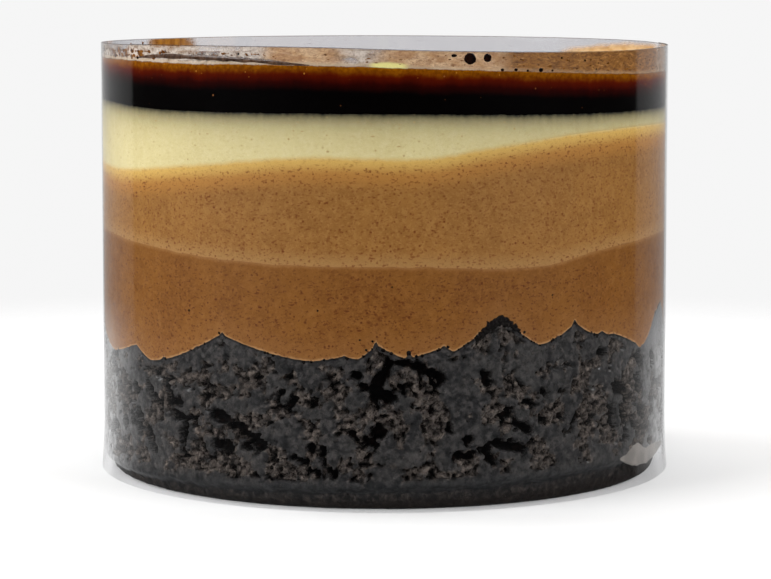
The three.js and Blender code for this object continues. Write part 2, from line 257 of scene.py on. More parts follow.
def crest_outline(bearing):
    """The crumb's crest at the rim: each flank leaves its valley level and steepens up to its crag."""
    marks = sorted([(b % 360, h, sag) for b, h, sag in CRAGS] + [(b % 360, h, 0) for b, h in VALLEYS])
    marks = [(marks[-1][0] - 360, *marks[-1][1:])] + marks + [(marks[0][0] + 360, *marks[0][1:])]
    knots, heights, sags = np.array(marks, float).T
    turned = np.mod(np.asarray(bearing, float), 360)
    at = np.searchsorted(knots, turned, side="right") - 1
    t = (turned - knots[at]) / (knots[at + 1] - knots[at])
    rising = sags[at + 1] > 0
    climb = np.where(rising, t, 1 - t)
    low = np.where(rising, heights[at], heights[at + 1])
    high = np.where(rising, heights[at + 1], heights[at])
    crest = low + (high - low) * climb ** np.where(rising, sags[at + 1], sags[at])
    for middle, rise, half_width in SPLINTERS:
        crest = crest + rise * np.clip(1 - np.abs(turn_between(turned, middle)) / half_width, 0, 1)
    ragged = rim_noise(turned, 0.9, 21, 2)
    crest = crest + 0.3 * np.clip(ragged - 0.15, 0, 1) - 0.06 * ragged
    behind = smoothstep(76, 92, np.abs(turn_between(turned, 0)))
    return crest + behind * 0.45 * rim_noise(turned, 1.9, 26, 3)


strip_top = round_curve(STRIP_TOP)
milk_top = round_curve(MILK_TOP)


def dark_top(bearing):
    """Where the two darker mousses meet, slightly uneven."""
    return round_curve(DARK_TOP)(bearing) + 0.12 * rim_noise(bearing, 2.2, 28, 3)


def white_top(bearing):
    """Where the glaze meets the white mousse, with the tiny teeth that the pour left."""
    return round_curve(WHITE_TOP)(bearing) + 0.1 * rim_noise(bearing, 0.55, 27, 2)


def glaze_top(bearing, share=1.0):
    angle = np.radians(bearing)
    tilt = share * (GLAZE_FORWARD_TILT * np.cos(angle) - GLAZE_TILT * np.sin(angle))
    edge = np.clip(1 - (1 - share) * RING_RADIUS / MENISCUS_WIDTH, 0, 1)
    sway = round_curve(GLAZE_SWAY)(bearing) * share**3
    return GLAZE_MIDDLE + tilt + sway + MENISCUS_HEIGHT * edge**2


def in_pocket(bearing, height):
    """1 over the air pocket at the right, 0 elsewhere."""
    start, end, lowest = POCKET
    off = np.abs(turn_between(bearing, (start + end) / 2))
    beside = smoothstep((end - start) / 2 - 2, (end - start) / 2 + 1, off)
    return (1 - beside) * smoothstep(-0.6, 0.6, height - lowest)


def tucked_in(travelled):
    """How far the strip stands inside the ring, counted in degrees back from its outer end."""
    step = np.clip((travelled - (360 - LAP_RAMP)) / LAP_RAMP, 0, 1)
    return step * (FILM_THICKNESS + FILM_GAP)


def cake_radius(bearing):
    past_ramp = np.mod(LAP_OUTER_END + LAP_RAMP - np.asarray(bearing, float), 360)
    behind_lap = past_ramp <= LAP_RAMP + LAP_OUTER_END - LAP_INNER_END
    tucked = np.where(behind_lap, tucked_in(360 - LAP_RAMP + past_ramp), 0)
    return RING_RADIUS - FILM_THICKNESS - FILM_GAP - tucked


# ---------------------------------------------------------------- meshes
def mesh_object(name, points, faces, sharp_angle=None, **fields):
    """A mesh with a value of each field at every point, for its material to read."""
    mesh = bpy.data.meshes.new(name)
    mesh.from_pydata(points.reshape(-1, 3).tolist(), [], faces)
    for label, values in fields.items():
        mesh.attributes.new(label, "FLOAT", "POINT").data.foreach_set("value", np.ravel(values))
    mesh.polygons.foreach_set("use_smooth", [True] * len(mesh.polygons))
    if sharp_angle is not None:
        mesh.set_sharp_from_angle(angle=math.radians(sharp_angle))
    mesh.update()
    piece = bpy.data.objects.new(name, mesh)
    bpy.context.scene.collection.objects.link(piece)
    return piece


def grid_quads(stations, rows, first=0, all_round=False, closed=False):
    """Faces of a grid of points; all_round joins its last station to the first, closed its last row."""
    here = first + np.arange(stations)[:, None] * rows + np.arange(rows)
    beside = np.roll(here, -1, axis=0)
    quads = np.stack([here, beside, np.roll(beside, -1, axis=1), np.roll(here, -1, axis=1)], axis=-1)
    quads = quads[:stations if all_round else -1, :rows if closed else -1]
    return quads.reshape(-1, 4).tolist()


def turned_piece(name, bearings, radii, heights, sharp_angle=50, **fields):
    """A closed solid from half sections (columns by rows) whose first and last rows lie on the axis."""
    columns, inner = len(radii), radii.shape[1] - 2
    ends = np.array([[0, 0, heights[0, 0]], [0, 0, heights[0, -1]]]) * MM
    body = place(radii[:, 1:-1], bearings, heights[:, 1:-1])
    faces = grid_quads(columns, inner, first=2, all_round=True)
    lowest = 2 + np.arange(columns) * inner
    beside = np.roll(lowest, -1)
    faces += np.stack([np.zeros(columns, int), beside, lowest], axis=-1).tolist()
    faces += np.stack([np.ones(columns, int), lowest + inner - 1, beside + inner - 1], axis=-1).tolist()
    for label, values in fields.items():
        values = np.broadcast_to(values, radii.shape)
        fields[label] = np.append([values[0, 0], values[0, -1]], values[:, 1:-1])
    return mesh_object(name, np.concatenate([ends, body.reshape(-1, 3)]), faces, sharp_angle, **fields)


def strand_piece(name, bearings, radii, heights):
    """A closed strand from whole sections (stations by sides), with a flat face at each end."""
    stations, sides = radii.shape
    faces = grid_quads(stations, sides, closed=True)
    last = (stations - 1) * sides
    faces += [list(range(sides)), list(range(last, last + sides))[::-1]]
    return mesh_object(name, place(radii, bearings, heights), faces)


def section(*parts):
    """Parts of a half section one after the other, each given for every bearing or once for all."""
    parts = [np.atleast_2d(part) for part in parts]
    columns = max(len(part) for part in parts)
    return np.concatenate([np.broadcast_to(part, (columns, part.shape[1])) for part in parts], axis=1)


def out_and_back(out, back):
    """A section's values along one face of a thin sheet and back along the other."""
    return np.concatenate([out, back[:, ::-1]], axis=1)


def all_bearings(columns):
    """Even bearings as a column, so that they line up with the rows of a section."""
    return np.arange(columns)[:, None] * 360.0 / columns


def lumps_piece(name, lumps, seed, roughness, outward, fineness=2):
    """Small rough lumps pressed against the strip, from (bearing, height, width, depth, height by width).

    outward is how far past the cake's own side their flat faces lie.
    """
    ball = bmesh.new()
    bmesh.ops.create_icosphere(ball, subdivisions=fineness, radius=1.0)
    unit = np.array([v.co[:] for v in ball.verts])
    triangles = np.array([[v.index for v in face.verts] for face in ball.faces])
    ball.free()
    points, faces = [], []
    for number, (bearing, height, width, depth, squash) in enumerate(lumps):
        shift = Vector((number * 3.1, seed, 0))
        swell = np.array([1 + roughness * noise.noise(Vector(p) * 1.9 + shift) for p in unit])
        local = unit * swell[:, None] * width / 2
        back = np.clip(0.3 - unit[:, 1], 0, 2) / 1.3
        radius = cake_radius(bearing) + outward - depth * back * swell
        across = bearing + np.degrees(local[:, 0] / RING_RADIUS)
        spots = place(radius, across, height + squash * local[:, 2])
        faces += (triangles + len(unit) * number)[:, ::-1].tolist()
        points.append(spots)
    return mesh_object(name, np.concatenate(points), faces)


# ---------------------------------------------------------------- materials
def linear(red, green, blue):
    """A colour given as 0 to 255 in sRGB, as the linear one that nodes take."""
    def channel(value):
        value /= 255
        return value / 12.92 if value <= 0.04045 else ((value + 0.055) / 1.055) ** 2.4

    return (channel(red), channel(green), channel(blue), 1.0)


class Nodes:
    """A short way to write a node tree, where a colour of three numbers is sRGB from 0 to 255."""

    def __init__(self, name, kept_in="materials"):
        self.owner = getattr(bpy.data, kept_in).new(name)
        self.owner.use_nodes = True
        self.tree = self.owner.node_tree
        self.tree.nodes.clear()

    def add(self, kind, inputs=None, **settings):
        node = self.tree.nodes.new("ShaderNode" + kind)
        for key, value in settings.items():
            setattr(node, key, value)
        for key, value in (inputs or {}).items():
            self.put(node.inputs[key], value)
        return node

    def put(self, socket, value):
        if isinstance(value, bpy.types.Node):
            value = value.outputs[0]
        if isinstance(value, bpy.types.NodeSocket):
            self.tree.links.new(value, socket)
        elif socket.type == "RGBA" and len(value) == 3:
            socket.default_value = linear(*value)
        else:
            socket.default_value = value

    def math(self, operation, a, b=0):
        return self.add("Math", {0: a, 1: b}, operation=operation).outputs[0]

    def plus(self, a, b):
        return self.math("ADD", a, b)

    def times(self, a, b):
        return self.math("MULTIPLY", a, b)

    def ramp(self, value, low, high, start=0, end=1, smooth=True):
        """Maps value from low..high to start..end and holds it there outside."""
        inputs = dict(enumerate((value, low, high, start, end)))
        kind = "SMOOTHSTEP" if smooth else "LINEAR"
        return self.add("MapRange", inputs, interpolation_type=kind).outputs[0]

    def fading(self, depth, reach):
        """A share that falls off as depth grows past 0, to about a third at reach mm."""
        return self.math("POWER", math.exp(-1 / reach), self.math("MAXIMUM", depth, 0))

    def mix(self, share, under, over):
        inputs = {0: share, 6: under, 7: over}
        return self.add("Mix", inputs, data_type="RGBA", clamp_factor=True).outputs[2]

    def wash(self, under, over, value, low, high, start=0, end=1):
        """Lays one colour over another by a share that value drives, as ramp() maps it."""
        return self.mix(self.ramp(value, low, high, start, end), under, over)

    def attributes(self, *names):
        return [self.add("Attribute", attribute_name=name).outputs["Fac"] for name in names]

    def place_in(self, stretch=(1, 1, 1)):
        """The object's coordinates in millimetres, stretched."""
        where = self.add("TexCoord").outputs["Object"]
        return self.add("Mapping", {"Vector": where, "Scale": tuple(s / MM for s in stretch)})

    def noise(self, size, detail=2, roughness=0.5, stretch=(1, 1, 1), distortion=0):
        """Noise with features about size mm across."""
        inputs = {"Scale": 1 / size, "Detail": detail, "Roughness": roughness, "Distortion": distortion}
        return self.add("TexNoise", {"Vector": self.place_in(stretch), **inputs}).outputs["Fac"]

    def swing(self, value, amount):
        """Turns noise from 0 to 1 into noise round 0, amount wide."""
        return self.times(self.math("SUBTRACT", value, 0.5), amount)

    def sway(self, size, amount):
        """Noise with features about size mm across, from about -amount to amount."""
        return self.swing(self.noise(size, 3), amount * 3)

    def bump(self, height, distance, strength=1):
        return self.add("Bump", {"Height": height, "Distance": distance * MM, "Strength": strength})

    def specks(self, colour, dot, size, share, reach, strongest=1, stretch=(1, 1, 1)):
        """Lays dots on a colour: share of the cells, size mm across, hold one of up to reach cells radius."""
        cells = self.add("TexVoronoi", {"Vector": self.place_in(stretch), "Scale": 1 / size})
        chosen = self.add("SeparateColor", {"Color": cells.outputs["Color"]})
        width = self.ramp(chosen.outputs[1], 0, 1, reach * 0.45, reach, smooth=False)
        inside = self.ramp(self.math("DIVIDE", cells.outputs["Distance"], width), 0.45, 1, 1, 0)
        present = self.math("LESS_THAN", chosen.outputs[0], share)
        strength = self.ramp(chosen.outputs[2], 0, 1, 0.35 * strongest, strongest, smooth=False)
        return self.mix(self.times(self.times(inside, present), strength), colour, dot)

    def glancing(self, **inputs):
        """The share of light that a clear face mirrors, rising as it is seen more at a glance."""
        facing = self.add("LayerWeight", {"Blend": 0.5, **inputs}).outputs["Facing"]
        return self.plus(self.times(self.math("POWER", facing, 5), 0.96), 0.04)

    def gloss(self, share, under, roughness, **inputs):
        """A mirroring face laid over another by share."""
        mirror = self.add("BsdfGlossy", {"Color": (1, 1, 1, 1), "Roughness": roughness, **inputs})
        return self.add("MixShader", {0: share, 1: under, 2: mirror})

    def painted(self, colour, roughness, specular=0.5, **more):
        inputs = {"Base Color": colour, "Roughness": roughness, "Specular IOR Level": specular}
        return self.add("BsdfPrincipled", {**inputs, **more})

    def surface(self, shader):
        self.add("OutputMaterial", {"Surface": shader})
        return self.owner


def mousse_material(name, tones, top_bands=(), bottom_bands=(), speckle=1, shadow=0):
    """Soft set mousse: a mottled body, bands fading in from both edges and fine dark specks.

    tones are the body's three colours and the specks' one. A band is (how far from the edge it holds, where
    it ends, colour, strength). shadow is how far down from the top a painted shade of the dark glaze above
    reaches.
    """
    body, shade, light, dark_speck = tones
    nodes = Nodes(name)
    below_top, above_bottom = nodes.attributes("below_top", "above_bottom")
    colour = nodes.wash(body, shade, nodes.noise(6, 3, 0.6), 0.36, 0.66)
    colour = nodes.wash(colour, light, nodes.noise(1.1, 4, 0.65), 0.42, 0.72, 0, 0.6)
    colour = nodes.wash(colour, light, nodes.noise(0.36, 3, 0.7), 0.48, 0.34, 0, 0.6)
    wander = nodes.plus(nodes.sway(1.3, 0.13), nodes.sway(0.42, 0.07))
    for depth, side, bands in ((above_bottom, "SUBTRACT", bottom_bands), (below_top, "ADD", top_bands)):
        for held, ended, tone, strength in bands:
            colour = nodes.wash(colour, tone, nodes.math(side, depth, wander), held, ended, strength, 0)
    # painted shade: the colour darkens to near black just under the glaze above, fading over shadow mm
    if shadow:
        colour = nodes.mix(nodes.fading(nodes.plus(below_top, wander), shadow), colour, (8, 8, 7))
    plain = colour
    grain = nodes.noise(0.4, 3, 0.7, stretch=(0.8, 0.8, 1.3))
    colour = nodes.wash(colour, dark_speck, grain, 0.53, 0.68, 0, 0.8 * speckle)
    for size, share, reach, stretch in MOUSSE_SPECKS:
        colour = nodes.specks(colour, dark_speck, size, share * speckle, reach, stretch=stretch)
    colour = nodes.wash(colour, plain, below_top, 0.4, 1.7, 0.65, 0)
    roughness = nodes.ramp(nodes.noise(1.4, 2), 0.3, 0.7, 0.5, 0.62)
    relief = nodes.bump(nodes.noise(0.7, 3), 0.012, 0.4)
    return nodes.surface(nodes.painted(colour, roughness, 0.24, Normal=relief))


def crumb_material():
    """Dark cocoa crumb: smooth slate where it is pressed to the strip, warm and lumpy where it isn't."""
    nodes = Nodes("sponge_crumb")
    pit, dry, lump, tag, pocket = nodes.attributes("pit", "dry", "lump", "tag", "pocket")
    crest, heel = nodes.attributes("below_top", "above_bottom")
    grain = nodes.noise(0.34, 4, 0.7)
    crumbs = nodes.noise(0.85, 6, 0.74, distortion=0.5)
    patches = nodes.noise(2.6, 3, 0.6)
    slate = nodes.wash((31, 31, 32), (47, 46, 45), patches, 0.38, 0.62)
    slate = nodes.wash(slate, (76, 72, 70), crumbs, 0.46, 0.62, 0, 0.7)
    slate = nodes.wash(slate, (17, 17, 18), crumbs, 0.5, 0.36, 0, 0.8)
    slate = nodes.specks(slate, (66, 63, 62), 0.8, 0.5, 0.48, 0.6)
    slate = nodes.specks(slate, (22, 22, 24), 1, 0.35, 0.4, 0.7)
    warm = nodes.wash((30, 27, 25), (74, 67, 62), crumbs, 0.4, 0.56)
    warm = nodes.wash(warm, (116, 106, 98), crumbs, 0.52, 0.68)
    warm = nodes.mix(nodes.times(tag, 0.35), warm, (92, 84, 78))
    # painted shade: the lumps darken towards the cracks between them, where the crumb lies deeper
    crack_shade = nodes.plus(lump, nodes.swing(grain, 1.2))
    warm = nodes.wash(warm, (20, 17, 16), crack_shade, 0.45, 0.85, 0, 0.85)
    damp = nodes.plus(dry, nodes.swing(crumbs, 1.6))
    colour = nodes.wash(slate, warm, damp, 0.15, 0.85, 0, 0.95)
    colour = nodes.specks(colour, (118, 108, 99), 0.6, 0.4, 0.32, 0.4)
    colour = nodes.wash(colour, (36, 38, 40), heel, 0.4, 2, 0.55, 0)
    # painted shade: darker towards the underside of the rounded heel, where the cake overhangs the floor
    colour = nodes.wash(colour, (26, 20, 17), heel, -2.4, 0.4, 0.75, 0)
    colour = nodes.wash(colour, (9, 8, 8), crest, 0.14, 0.38, 0.85, 0)
    colour = nodes.specks(colour, (12, 7, 6), 0.8, 0.3, 0.3, 0.9)
    colour = nodes.mix(pocket, colour, nodes.mix(patches, (74, 73, 74), (96, 95, 96)))
    # painted shade: the hollows between the crumbs are painted near black with a brown tinge, for the dark
    # inside deep holes
    hollow_shade = nodes.wash((1, 0, 0), (20, 10, 7), nodes.noise(0.9, 3), 0.5, 0.72)
    edge = nodes.plus(pit, nodes.swing(grain, 0.7))
    colour = nodes.wash(colour, hollow_shade, edge, -0.06, 0.08)
    relief = nodes.bump(nodes.times(crumbs, nodes.ramp(damp, 0.1, 0.7, 0.15, 1)), 0.2, 0.7)
    crumb = nodes.painted(colour, nodes.ramp(damp, 0.1, 0.8, 0.5, 0.75), 0.05, Normal=relief)
    # Where the crumb touches the strip it wets it, and mirrors at a glance like the strip's own face
    where = nodes.add("TexCoord").outputs["Object"]
    level = nodes.add("VectorMath", {0: where, 1: (1, 1, 0)}, operation="MULTIPLY")
    outward = nodes.add("VectorMath", {0: level}, operation="NORMALIZE").outputs[0]
    touching = nodes.ramp(nodes.noise(1.1, 5, 0.7), 0.38, 0.62, 1.9, 0.7)
    touching = nodes.times(touching, nodes.ramp(edge, -0.35, -0.05, 1, 0))
    touching = nodes.times(touching, nodes.ramp(heel, -0.2, 0.3))
    touching = nodes.times(touching, nodes.math("SUBTRACT", 1, pocket))
    share = nodes.times(nodes.glancing(Normal=outward), touching)
    return nodes.surface(nodes.gloss(share, crumb, 0.3, Normal=outward))


def glaze_wall_material():
    """The glaze seen through the strip: amber where it thins at the top, black lower down."""
    nodes = Nodes("dark_glaze")
    depth = nodes.plus(*nodes.attributes("below_top"), nodes.sway(3, 0.3))
    depth = nodes.plus(depth, nodes.sway(0.45, 0.06))
    streaks = nodes.noise(1.6, 3, 0.6, stretch=(1, 1, 0.22))
    depth = nodes.plus(depth, nodes.ramp(streaks, 0.3, 0.7, -0.13, 0.13))
    amber = nodes.wash((140, 82, 4), (112, 60, 0), nodes.noise(0.5, 4), 0.36, 0.66)
    colour = nodes.wash(amber, (80, 15, 0), depth, 0.2, 1.45)
    colour = nodes.wash(colour, (38, 2, 0), depth, 1, 2.5)
    colour = nodes.wash(colour, (1, 0, 0), depth, 2, 3.6)
    golden = nodes.specks(colour, (186, 128, 48), 0.8, 0.55, 0.19, 0.8, stretch=(1, 1, 0.8))
    colour = nodes.wash(golden, colour, depth, 1.6, 2.6)
    colour = nodes.specks(colour, (150, 98, 60), 1.5, 0.3, 0.11, 0.8)
    return nodes.surface(nodes.painted(colour, 0.5, 0.02))


def glaze_mirror_material():
    """The glaze's open top: glossy, nearly black, browner along the wall and faintly marbled."""
    nodes = Nodes("mirror_glaze")
    inward, = nodes.attributes("inward")
    colour = nodes.wash((27, 13, 8), (35, 17, 10), nodes.noise(13, 2, 0.45, distortion=0.5), 0.35, 0.7)
    edge = nodes.plus(inward, nodes.sway(1.6, 0.25))
    colour = nodes.wash(colour, (112, 60, 8), edge, 0.1, 1.6, 0.9, 0)
    colour = nodes.wash(colour, (146, 88, 6), inward, 0, 0.06, 1, 0)
    colour = nodes.specks(colour, (110, 72, 44), 1.9, 0.25, 0.08, 0.5)
    roughness = nodes.ramp(nodes.noise(7, 2), 0.35, 0.7, 0.07, 0.13)
    ripple = nodes.bump(nodes.noise(12, 1), 0.2, 0.4)
    return nodes.surface(nodes.painted(colour, roughness, Normal=ripple))


def smear_material():
    """What clings to the strip above the glaze: foam, cream and thin amber glaze, holed in places."""
    nodes = Nodes("strip_smear")
    is_tan, is_brown, is_amber, is_cloud = nodes.attributes("tan", "brown", "amber", "cloud")
    blotchy, lip, sheen, cover = nodes.attributes("blotchy", "lip", "sheen", "cover")
    broad = nodes.noise(1.5, 4, 0.62, stretch=(0.6, 0.6, 1.6), distortion=0.5)
    wrinkles = nodes.noise(0.62, 4, 0.7, stretch=(0.6, 0.6, 1.9), distortion=0.8)
    fine = nodes.noise(0.26, 3, 0.6)
    cream = nodes.wash((186, 164, 142), (218, 206, 194), broad, 0.34, 0.62)
    tan = nodes.wash((192, 150, 106), (222, 190, 152), broad, 0.36, 0.66)
    tan = nodes.wash(tan, (154, 112, 84), wrinkles, 0.4, 0.62, 0, 0.6)
    brown = nodes.wash((84, 46, 12), (172, 120, 60), wrinkles, 0.3, 0.68)
    brown = nodes.wash(brown, (142, 92, 30), broad, 0.4, 0.66, 0, 0.5)
    brown = nodes.wash(brown, (206, 166, 116), wrinkles, 0.6, 0.74, 0, 0.7)
    drawn = nodes.noise(1, 3, 0.6, stretch=(1, 1, 0.25))
    amber = nodes.wash((136, 80, 16), (176, 118, 38), drawn, 0.32, 0.68)
    cloud = nodes.wash((204, 154, 92), (222, 184, 134), broad, 0.3, 0.7)
    colour = nodes.mix(is_brown, nodes.mix(is_tan, cream, tan), brown)
    blots = nodes.times(nodes.ramp(nodes.noise(1.5, 4, 0.65), 0.54, 0.64), blotchy)
    colour = nodes.mix(blots, colour, (116, 72, 26))
    grit = nodes.wash(colour, (120, 78, 44), fine, 0.5, 0.34, 0, 0.35)
    grit = nodes.specks(grit, (112, 62, 22), 1.3, 0.35, 0.24, 0.8, stretch=(0.6, 0.6, 1.1))
    colour = nodes.mix(is_cloud, nodes.mix(is_amber, grit, amber), cloud)
    # painted reflection and painted highlight: a pale line at the smear's foot for the glaze's meniscus
    # mirroring the backdrop, and a pale yellow patch for a lamp's glint
    colour = nodes.mix(sheen, nodes.mix(lip, colour, (190, 168, 140)), (236, 228, 150))
    ragged = nodes.math("SUBTRACT", nodes.plus(broad, nodes.times(fine, 0.3)), 0.65)
    thin = nodes.math("MAXIMUM", is_amber, is_cloud)
    ragged = nodes.times(ragged, nodes.ramp(thin, 0, 0.5, 1.3, 0.3))
    solid = nodes.ramp(nodes.plus(cover, ragged), 0.15, 0.85)
    relief = nodes.bump(wrinkles, 0.06, 0.5)
    return nodes.surface(nodes.painted(colour, 0.42, 0.4, Alpha=solid, Normal=relief))


def drop_material(name, darker, lighter, patch=0.8, detail=2, spread=(0.4, 0.6), sleek=(0.08, 0.2)):
    nodes = Nodes(name)
    tone = nodes.wash(darker, lighter, nodes.noise(patch, detail), *spread)
    return nodes.surface(nodes.painted(tone, nodes.ramp(nodes.noise(0.6), 0.3, 0.7, *sleek)))


def film_material():
    """Clear film: it mirrors at a glance, but not on its inner face where mousse or crumb wets it."""
    nodes = Nodes("clear_film")
    free, brim, dull, bare = nodes.attributes("free", "brim", "dull", "bare")
    tint = nodes.mix(free, (0.985, 0.985, 0.988, 1), (0.81, 0.805, 0.82, 1))
    tint = nodes.wash(tint, (0.4, 0.36, 0.34, 1), brim, 0.2, 1)
    clear = nodes.add("BsdfTransparent", {"Color": tint})
    roughness = nodes.plus(nodes.times(dull, 0.22), 0.04)
    roughness = nodes.plus(roughness, nodes.ramp(nodes.noise(5, 3), 0.35, 0.7, 0, 0.03))
    return nodes.surface(nodes.gloss(nodes.times(nodes.glancing(), bare), clear, roughness))


# ---------------------------------------------------------------- pieces of the cake
def finish_piece(piece, material, node):
    piece.data.materials.append(material)
    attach(piece, "root")
    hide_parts(node)


def low_edge_at(bearing):
    return LOW_EDGE + LOW_EDGE_SWAY * np.cos(np.radians(bearing - LOW_EDGE_BEARING))


def hollow_runs():
    """The hollows that show at the front, and others of their kind spread over the rest."""
    draw = np.random.default_rng(7)
    runs = list(HOLLOWS)
    for _ in range(UNSEEN_HOLLOWS):
        bearing, height = draw.uniform(69, 290), draw.uniform(4.5, 17.5)
        length, slope = draw.uniform(0.2, 3.6), draw.uniform(-0.6, 0.6)
        runs.append((bearing, height, bearing + length, height + slope * length, draw.uniform(0.3, 0.9)))
    return runs


def inside_hollows(bearing, height):
    """How far each point lies inside the nearest hollow, in mm; negative outside."""
    deepest = np.full(bearing.shape, -9.0)
    arc = math.radians(1) * RING_RADIUS
    for bearing_a, height_a, bearing_b, height_b, half_width in hollow_runs():
        across, up = turn_between(bearing, bearing_a) * arc, height - height_a
        run_across, run_up = (bearing_b - bearing_a) * arc, height_b - height_a
        along = np.clip((across * run_across + up * run_up) / (run_across**2 + run_up**2), 0, 1)
        apart = np.hypot(across - along * run_across, up - along * run_up)
        deepest = np.maximum(deepest, half_width - apart)
    return deepest


def crumb_piece():
    bearings = all_bearings(CRUMB_COLUMNS)
    rim = cake_radius(bearings)
    low_edge = low_edge_at(bearings) + 0.22 * rim_noise(bearings, 2.6, 41, 3)
    crest = crest_outline(bearings) - LAYER_GAP / 2
    side_heights = low_edge + (crest - low_edge) * np.linspace(0, 1, CRUMB_ROWS)
    wide = np.broadcast_to(bearings, side_heights.shape)
    radius = np.broadcast_to(rim, side_heights.shape)
    bent = 0.9 * noise_field(radius, wide, side_heights, 1.1, 11, 2)
    near, tag = cell_field(radius, wide + bent, side_heights + 0.3 * bent, 0.8, 3)
    loose = noise_field(radius, wide, side_heights, 3.4, 5, 3)
    fine = noise_field(radius, wide, side_heights, 0.62, 9, 2)
    above = side_heights - low_edge
    below = crest - side_heights
    pressed = smoothstep(0.2, 1.2, below) * smoothstep(0.6, 2.6, above)
    dry = smoothstep(-0.2, 0.3, loose + 0.22 * fine) * pressed
    pocket = in_pocket(wide, side_heights)
    within = inside_hollows(wide, side_heights) + 0.8 * (near - 0.5) + 0.32 * fine - pocket
    crevices = 0.35 * (near + 0.5 * fine - 0.72)
    within = np.maximum(within, np.where(dry > 0.4, crevices, -1))
    within = np.minimum(within, np.minimum(below - 0.25, above - 0.8))
    holes = smoothstep(-0.06, 0.12, within)
    lumpy = dry * (0.06 + 0.45 * near**2 + 0.12 * (tag > 0.7))
    depth = np.maximum(1.7 * holes, lumpy + 0.03 * np.clip(fine, 0, 1))
    rounding = 0.9 * (1 - smoothstep(0, 1.1, above)) ** 2
    side = radius - depth - rounding
    flat = np.array([0, 0.6, 1]) * FOOT_RADIUS
    turn = np.radians([10, 22, 34, 46, 58, 70, 80])
    heel_radius = FOOT_RADIUS + (side[:, :1] - FOOT_RADIUS) * np.sin(turn)
    heel_heights = low_edge * (1 - np.cos(turn))
    knobs = noise_field(heel_radius, bearings, heel_heights, 0.8, 43, 2)
    heel_radius = heel_radius - 0.3 * (0.5 + knobs) * np.sin(turn)
    heel_heights = heel_heights + 0.15 * np.roll(knobs, 7, axis=0) * np.sin(2 * turn)
    heel_heights = np.maximum(heel_heights, 0.01)
    top_shares = COVER_SHARES[::-1]
    rise = smoothstep(1 - CREST_REACH, 1, top_shares)
    top_heights = MIDDLE_HEIGHT["crumb"] + (crest - MIDDLE_HEIGHT["crumb"]) * rise
    radii = section(flat, heel_radius, side, top_shares * rim)
    heights = section(np.zeros_like(flat), heel_heights, side_heights, top_heights)
    fields = {
        "pit": (np.clip(within, -1, 1), -1), "dry": (dry, 0.55), "lump": (near, 0.4), "tag": (tag, 0.2),
        "below_top": (below, 9), "above_bottom": (above, -3), "pocket": (pocket, 0),
    }
    start = len(flat) + len(turn)
    for label, (values, elsewhere) in fields.items():
        fields[label] = np.full_like(radii, elsewhere)
        fields[label][:, start:start + CRUMB_ROWS] = values
    fields["above_bottom"][:, len(flat):start] = heel_heights - low_edge
    piece = turned_piece("crumb_sponge", bearings, radii, heights, None, **fields)
    finish_piece(piece, crumb_material(), "cake_base")


def stray_crumbs_piece():
    """Crumbs caught in the mousse along the crest, against the strip."""
    draw = np.random.default_rng(19)
    lumps = list(STRAY_CRUMBS)
    for _ in range(UNSEEN_CRUMBS):
        bearing = draw.uniform(70, 292)
        width = draw.uniform(0.25, 0.9)
        height = crest_outline(np.array([bearing]))[0] + draw.uniform(-0.3, 0.5) * width
        if draw.uniform() < 0.25:
            height += draw.uniform(0.5, 3.0)
            width = min(width, 0.4)
        lumps.append((bearing, height, width))
    for _ in range(CREST_CRUMBS):
        bearing = draw.uniform(-180, 180)
        if rim_noise(np.array([bearing]), 5, 51)[0] < -0.1:
            continue
        width = draw.uniform(0.2, 0.62)
        height = crest_outline(np.array([bearing]))[0] + draw.uniform(-0.42, -0.08) * width
        lumps.append((bearing, height, width))
    lumps = [(bearing, height, width, width * 0.45, 1) for bearing, height, width in lumps]
    piece = lumps_piece("stray_crumbs", lumps, 4, 0.55, 0.008)
    nodes = Nodes("stray_crumb")
    grain = nodes.noise(0.3, 3, 0.6)
    tone = nodes.wash((6, 4, 3), (32, 28, 26), grain, 0.4, 0.7)
    material = nodes.surface(nodes.painted(tone, 0.65, 0.1, Normal=nodes.bump(grain, 0.05, 0.6)))
    finish_piece(piece, material, "cake_base")


def layer_piece(name, kind, columns, rows, bottom, top, middles, tones, **look):
    """A mousse layer between two rim outlines, closed over the middle of the cake."""
    bearings = all_bearings(columns)
    rim = cake_radius(bearings)
    bottom_middle, top_middle = (MIDDLE_HEIGHT[middle] for middle in middles)
    low = bottom(bearings) + LAYER_GAP / 2
    high = top(bearings) - LAYER_GAP / 2
    inner = COVER_SHARES * rim
    rise = smoothstep(1 - CREST_REACH, 1, COVER_SHARES) if bottom is crest_outline else COVER_SHARES**2
    under = bottom_middle + (low - bottom_middle) * rise
    over = top_middle + (high - top_middle) * COVER_SHARES**2
    radii = section(inner, rim + np.zeros(rows), inner[:, ::-1])
    heights = section(under, low + (high - low) * np.linspace(0, 1, rows), over[:, ::-1])
    fields = {"below_top": high - heights, "above_bottom": heights - low}
    piece = turned_piece(name, bearings, radii, heights, **fields)
    finish_piece(piece, mousse_material(kind, tones, **look), kind)


